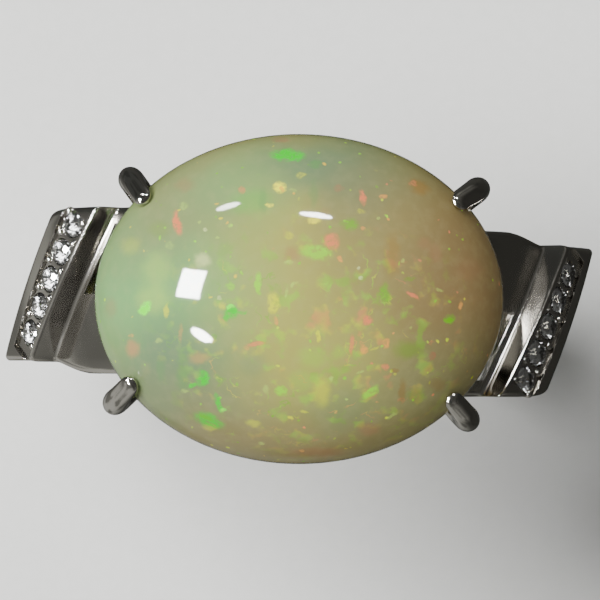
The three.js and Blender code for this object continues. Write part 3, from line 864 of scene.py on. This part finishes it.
# %% [markdown]
# Each ridge is a bright-cut bed: the middle is carved down a little, which leaves a rim all
# round, five seats are drilled, and beads of metal are raised in pairs to hold the diamonds.
# The frames below give each place along the ridge its own upright, so that seats, beads and
# diamonds all sit square to the metal.

# %% Bed, seats and beads
DIAMOND = {"count": 5, "radius": 0.45, "pitch": 1.09, "crown": 0.14, "depth": 0.4, "girdle": 0.03}
BEAD = {"radius": 0.15, "aside": 0.39, "sunk": 0.03}
ROW = {"aside": 0.17, "middle": 0.8, "bed_half": 0.55, "bed_slope": 0.03}
ROW_ANGLE = RIDGE["angle"] + ROW["aside"] * DEGREES_ACROSS
BED_END = 0.2
LENGTH_PER_Y = math.hypot(1, math.radians(RIDGE["slant"]) * RIDGE["top"])


def ridge_y(pitches):
    return ROW["middle"] + pitches * DIAMOND["pitch"] / LENGTH_PER_Y


def ridge_frame(y, radius):
    """A frame on the left row's middle line: x across the ridge, y along it, z out of it."""
    angle, turn = math.radians(ROW_ANGLE + RIDGE["slant"] * y), math.radians(RIDGE["slant"])
    out = Vector((-math.cos(angle), 0, math.sin(angle)))
    along = Vector((math.sin(angle) * turn * radius, 1, math.cos(angle) * turn * radius)).normalized()
    across = along.cross(out)
    origin = Vector((out.x * radius, y, HOLE_HEIGHT + out.z * radius))
    axes = zip(across, along, out, origin)
    return Matrix([*(tuple(row) for row in axes), (0, 0, 0, 1)])


def spun(name, profile, around, matrix):
    """A solid of revolution about the frame's z, from pairs of radius and height."""
    turn = np.linspace(0, 2 * math.pi, around, endpoint=False)
    loops = [np.column_stack([r * np.cos(turn), r * np.sin(turn), np.full(around, z)]) for r, z in profile]
    solid = skin_loops(name, loops)
    solid.data.transform(matrix)
    return solid


def bed_cutter():
    """The carved bed: a slab along the ridge that stops short of the band's two edges."""
    reach, wider = ROW["bed_half"], ROW["bed_half"] + ROW["bed_slope"]
    ends = [edge_of_band(ROW_ANGLE, 1, edge) - edge * BED_END for edge in (-1, 1)]
    corners = [(-wider, 0.4), (-reach, 0.0), (reach, 0.0), (wider, 0.4)]
    loops = []
    for y in np.linspace(*ends, 24):
        station = ridge_frame(y, RIDGE["bed"])
        loops.append([station @ Vector((x, 0, z)) for x, z in corners])
    return skin_loops("bed", loops)


places = [n - (DIAMOND["count"] - 1) / 2 for n in range(DIAMOND["count"])]
bead_places = [n - DIAMOND["count"] / 2 for n in range(DIAMOND["count"] + 1)]
cutters, beads = [bed_cutter()], []
seat_radius = DIAMOND["radius"]
seat = [(0.02, -DIAMOND["depth"] - 0.05), (seat_radius + 0.01, -0.02), (seat_radius + 0.03, 0.5)]
for n in places:
    cutters.append(spun("seat", seat, 32, ridge_frame(ridge_y(n), RIDGE["bed"])))
for n in bead_places:
    inward = 0.9 if abs(n) > DIAMOND["count"] / 2 - 0.1 else 1.0
    station = ridge_frame(ridge_y(n * inward), RIDGE["bed"])
    for side in (-1, 1):
        ball = [
            (BEAD["radius"] * math.sin(t), -BEAD["radius"] * math.cos(t))
            for t in np.linspace(0.08, math.pi - 0.08, 12)
        ]
        spot = station @ Matrix.Translation((side * BEAD["aside"], 0, -BEAD["sunk"]))
        beads.append(spun("bead", ball, 20, spot))

# %% [markdown]
# Between ridge and opal the shoulder is sawn open down to the finger, which lets light under the
# stone, and the middle of the band is drilled out for the lower rail. Both shoulders get the same
# cuts, the right one turned half round.

# %% Windows and the head's opening
WINDOW = {"low": 0.3, "high": 2.6, "clearance": 0.15}
BASE_RAIL = {"length": 9.2, "width": 7.2, "wall": 0.85, "top": 19.75, "bevel": 0.12}
SOLDERED = 0.05


def window_cutter():
    def wall(y):
        across = RIDGE["half"] + 0.1
        angle = math.radians(RIDGE["angle"] + RIDGE["slant"] * y + across * DEGREES_ACROSS)
        return -SHANK["deck"] * math.cos(angle) + WINDOW["clearance"]

    inner = -BASE_RAIL["length"] / 2 + 0.8
    low, high = WINDOW["low"], WINDOW["high"]
    corners = [(wall(low), low), (inner, low), (inner, high), (wall(high), high)]
    heights = (HOLE_HEIGHT, HOLE_HEIGHT + FINGER_RADIUS + 4)
    return skin_loops("window", [[(x, y, z) for x, y in corners] for z in heights])


cutters.append(window_cutter())
cutters += [turned(cutter, HALF_TURN) for cutter in cutters]
beads += [turned(bead, HALF_TURN) for bead in beads]

turn = np.linspace(0, 2 * math.pi, 128, endpoint=False)
opening_x = (BASE_RAIL["length"] / 2 - SOLDERED) * np.cos(turn)
opening_y = (BASE_RAIL["width"] / 2 - SOLDERED) * np.sin(turn)
opening = [
    np.column_stack([opening_x, opening_y, np.full(len(turn), z)])
    for z in (HOLE_HEIGHT, GIRDLE_HEIGHT)
]
cutters.append(skin_loops("head_opening", opening))

combine(shank, cutters)
combine(shank, beads, "UNION")
place_piece(shank, metal, ["shank"])

# %% [markdown]
# The head is two oval rails. The lower one is a tube of wire drawn flat, whose foot is filed to
# the finger hole; the upper one is a round wire that the opal's back sits in.

# %% Rails
GALLERY_RAIL = {"length": 10.8, "width": 8.3, "thickness": 0.9, "height": 20.8}


def oval_place(length, width, turn):
    """A point on an oval and the direction square to it."""
    point = np.array([length / 2 * math.cos(turn), width / 2 * math.sin(turn)])
    out = np.array([math.cos(turn) / length, math.sin(turn) / width])
    return point, out / np.linalg.norm(out)


def lower_rail_loop(turn):
    point, out = oval_place(BASE_RAIL["length"], BASE_RAIL["width"], turn)
    bevel, wall, top = BASE_RAIL["bevel"], BASE_RAIL["wall"], BASE_RAIL["top"]
    rolled = [
        (-bevel + bevel * math.cos(t), top - bevel + bevel * math.sin(t))
        for t in np.linspace(0, math.pi / 2, 5)
    ]
    profile = rolled + [(-wall - inset, z) for inset, z in rolled[::-1]]
    loop = [(*(point + out * inset), z) for inset, z in profile]
    for inset in (-wall, 0.0):
        x, y = point + out * inset
        loop.append((x, y, HOLE_HEIGHT + math.sqrt((FINGER_RADIUS + 0.02) ** 2 - x * x)))
    return loop


def upper_rail_loop(turn):
    point, out = oval_place(GALLERY_RAIL["length"], GALLERY_RAIL["width"], turn)
    radius = GALLERY_RAIL["thickness"] / 2
    section = np.linspace(0, 2 * math.pi, 20, endpoint=False)
    return [
        (*(point + out * radius * math.cos(t)), GALLERY_RAIL["height"] + radius * math.sin(t))
        for t in section
    ]


round_oval = np.linspace(0, 2 * math.pi, 160, endpoint=False)
lower_rail = skin_loops("filed_lower_rail", [lower_rail_loop(t) for t in round_oval], hoop=True)
upper_rail = skin_loops("round_upper_rail", [upper_rail_loop(t) for t in round_oval], hoop=True)
combine(upper_rail, [opal_shape("stone_in_rail")])
place_piece(lower_rail, metal, ["base_rail"])
place_piece(upper_rail, metal, ["gallery_rail"])

# %% [markdown]
# Each claw is a tapered wire, soldered to the lower rail, notched where the girdle rests in it,
# and pushed over the dome with a burnisher, which leaves its tip rounded and a little flat. A
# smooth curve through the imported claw's own points carries oval sections for it. The notch is
# cut by the opal itself.

# %% Claws
CLAW_PATH = [
    (-1.75, -4.1),
    (-1.5, -3.0),
    (-0.85, -1.7),
    (-0.1, -0.8),
    (0.44, -0.2),
    (0.52, 0.35),
    (0.36, 0.95),
    (0.05, 1.42),
    (-0.22, 1.7),
    (-0.45, 1.82),
]
CLAW = {"root": 0.42, "girdle": 0.47, "flatness": 0.88, "tip_width": 0.3, "tip_depth": 0.15}
CLAW_STEPS = 72
CLAW_SIDES = 28

# node, place round the opal and heading outwards, both in degrees
CLAWS = [
    ("claw_back_right", 36.7, 36),
    ("claw_back_left", 140.6, 125),
    ("claw_front_left", 213.2, 226),
    ("claw_front_right", 319.9, 310),
]


def smooth_path(points, steps):
    """Even steps along a Catmull-Rom curve through the points."""
    ends = [2 * points[0] - points[1], *points, 2 * points[-1] - points[-2]]
    curve = []
    for a, b, c, d in zip(ends, ends[1:], ends[2:], ends[3:]):
        for t in np.linspace(0, 1, 24, endpoint=False):
            bend, twist = 2 * a - 5 * b + 4 * c - d, 3 * b - a - 3 * c + d
            curve.append(0.5 * (2 * b + (c - a) * t + bend * t**2 + twist * t**3))
    curve = np.array([*curve, points[-1]])
    reach = np.concatenate([[0], np.cumsum(np.linalg.norm(np.diff(curve, axis=0), axis=1))])
    stops = (1 - np.cos(np.linspace(0, math.pi, steps))) / 2 * reach[-1]
    return np.column_stack([np.interp(stops, reach, curve[:, n]) for n in range(2)]), stops


def claw_loops(place, heading):
    path, stops = smooth_path([np.array(point) for point in CLAW_PATH], CLAW_STEPS)
    tangents = np.gradient(path, axis=0)
    tangents /= np.linalg.norm(tangents, axis=1)[:, None]
    foot, _ = oval_place(STONE_LENGTH, STONE_WIDTH, math.radians(place))
    out = np.array([math.cos(math.radians(heading)), math.sin(math.radians(heading))])
    aside = np.array([-out[1], out[0]])
    section = np.linspace(0, 2 * math.pi, CLAW_SIDES, endpoint=False)
    loops = []
    for (reach, height), (run, climb), stop in zip(path, tangents, stops):
        share = stop / stops[-1]
        body = mix(CLAW["root"], CLAW["girdle"], smoothstep(share, 0, 0.6))
        width = mix(body * CLAW["flatness"], CLAW["tip_width"], smoothstep(share, 0.7, 1))
        depth = mix(body, CLAW["tip_depth"], smoothstep(share, 0.7, 0.97))
        for end in (stop, stops[-1] - stop):
            cap = min(end / CLAW["tip_width"], 1.0)
            width, depth = (size * max(math.sqrt(cap * (2 - cap)), 0.04) for size in (width, depth))
        loop = []
        for t in section:
            flat = foot + out * (reach - climb * depth * math.cos(t)) + aside * width * math.sin(t)
            loop.append((*flat, GIRDLE_HEIGHT + height + run * depth * math.cos(t)))
        loops.append(loop)
    return loops


for node, place, heading in CLAWS:
    claw = skin_loops(node.replace("claw", "bent_claw"), claw_loops(place, heading))
    combine(claw, [opal_shape("notch", around=128)])
    place_piece(claw, metal, [node], smooth_below=50)

# %% [markdown]
# The shoulder diamonds are about a millimetre across, brilliant cut: a table, eight stars, eight
# kites and sixteen girdle facets above, and eight mains with sixteen halves below. The corners of
# those facets are worked out, and the convex hull of the corners is the cut stone. Diamond bends
# light strongly, at an index of 2.417, so nearly all the light that enters comes back broken up.

# %% Diamonds
TABLE = 0.55
STAR_REACH = 0.78
HALVES_REACH = 0.24


def cut_diamond():
    diamond, tree = new_material("brilliant_cut_diamond")
    film = add(tree, "ShaderNodeTexNoise", {"Vector": millimetres(tree), "Scale": 1 / 0.15, "Detail": 2.0})
    filmed = {"Value": film, "From Min": 0.45, "From Max": 0.7, "To Min": 0.0, "To Max": 0.05}
    greasy = add(tree, "ShaderNodeMapRange", filmed)
    clear = {"Base Color": linear("#f6f7f8"), "Roughness": greasy, "IOR": 2.417, "Transmission Weight": 1.0}
    surface = add(tree, "ShaderNodeBsdfPrincipled", clear)
    add(tree, "ShaderNodeOutputMaterial", {"Surface": surface})
    return diamond


def brilliant_corners():
    radius, upper, lower = DIAMOND["radius"], DIAMOND["girdle"] / 2, -DIAMOND["girdle"] / 2
    crown_slope = (DIAMOND["crown"] - upper) / (1 - TABLE)
    back_slope = DIAMOND["depth"] + lower
    corners = [(0, 0, -DIAMOND["depth"])]
    eighth = math.pi / 4
    between = math.cos(eighth / 2)
    for n in range(8):
        main, half = n * eighth, (n + 0.5) * eighth
        marks = [
            (main, TABLE, DIAMOND["crown"]),
            (half, STAR_REACH, upper + (1 - STAR_REACH * between) * crown_slope),
            (main, 1.0, upper),
            (half, 1.0, upper),
            (main, 1.0, lower),
            (half, 1.0, lower),
            (half, HALVES_REACH, lower - (1 - HALVES_REACH * between) * back_slope),
        ]
        corners += [(radius * r * math.cos(t), radius * r * math.sin(t), z) for t, r, z in marks]
    return corners


def cut_stone(name, matrix):
    mesh = bpy.data.meshes.new(name)
    stone = bmesh.new()
    for corner in brilliant_corners():
        stone.verts.new(corner)
    bmesh.ops.convex_hull(stone, input=stone.verts)
    bmesh.ops.dissolve_limit(stone, angle_limit=math.radians(1), verts=stone.verts, edges=stone.edges)
    stone.transform(matrix)
    bmesh.ops.recalc_face_normals(stone, faces=stone.faces)
    stone.to_mesh(mesh)
    stone.free()
    piece = bpy.data.objects.new(name, mesh)
    bpy.context.scene.collection.objects.link(piece)
    return piece


diamond = cut_diamond()
for side, half_turn in (("left", Matrix.Identity(4)), ("right", HALF_TURN)):
    for n, place in enumerate(places):
        matrix = half_turn @ ridge_frame(ridge_y(place), RIDGE["bed"])
        stone = cut_stone(f"brilliant_{side}_{n + 1}", matrix)
        place_piece(stone, diamond, [f"diamond_{side}_{n + 1}"], smooth_below=1)
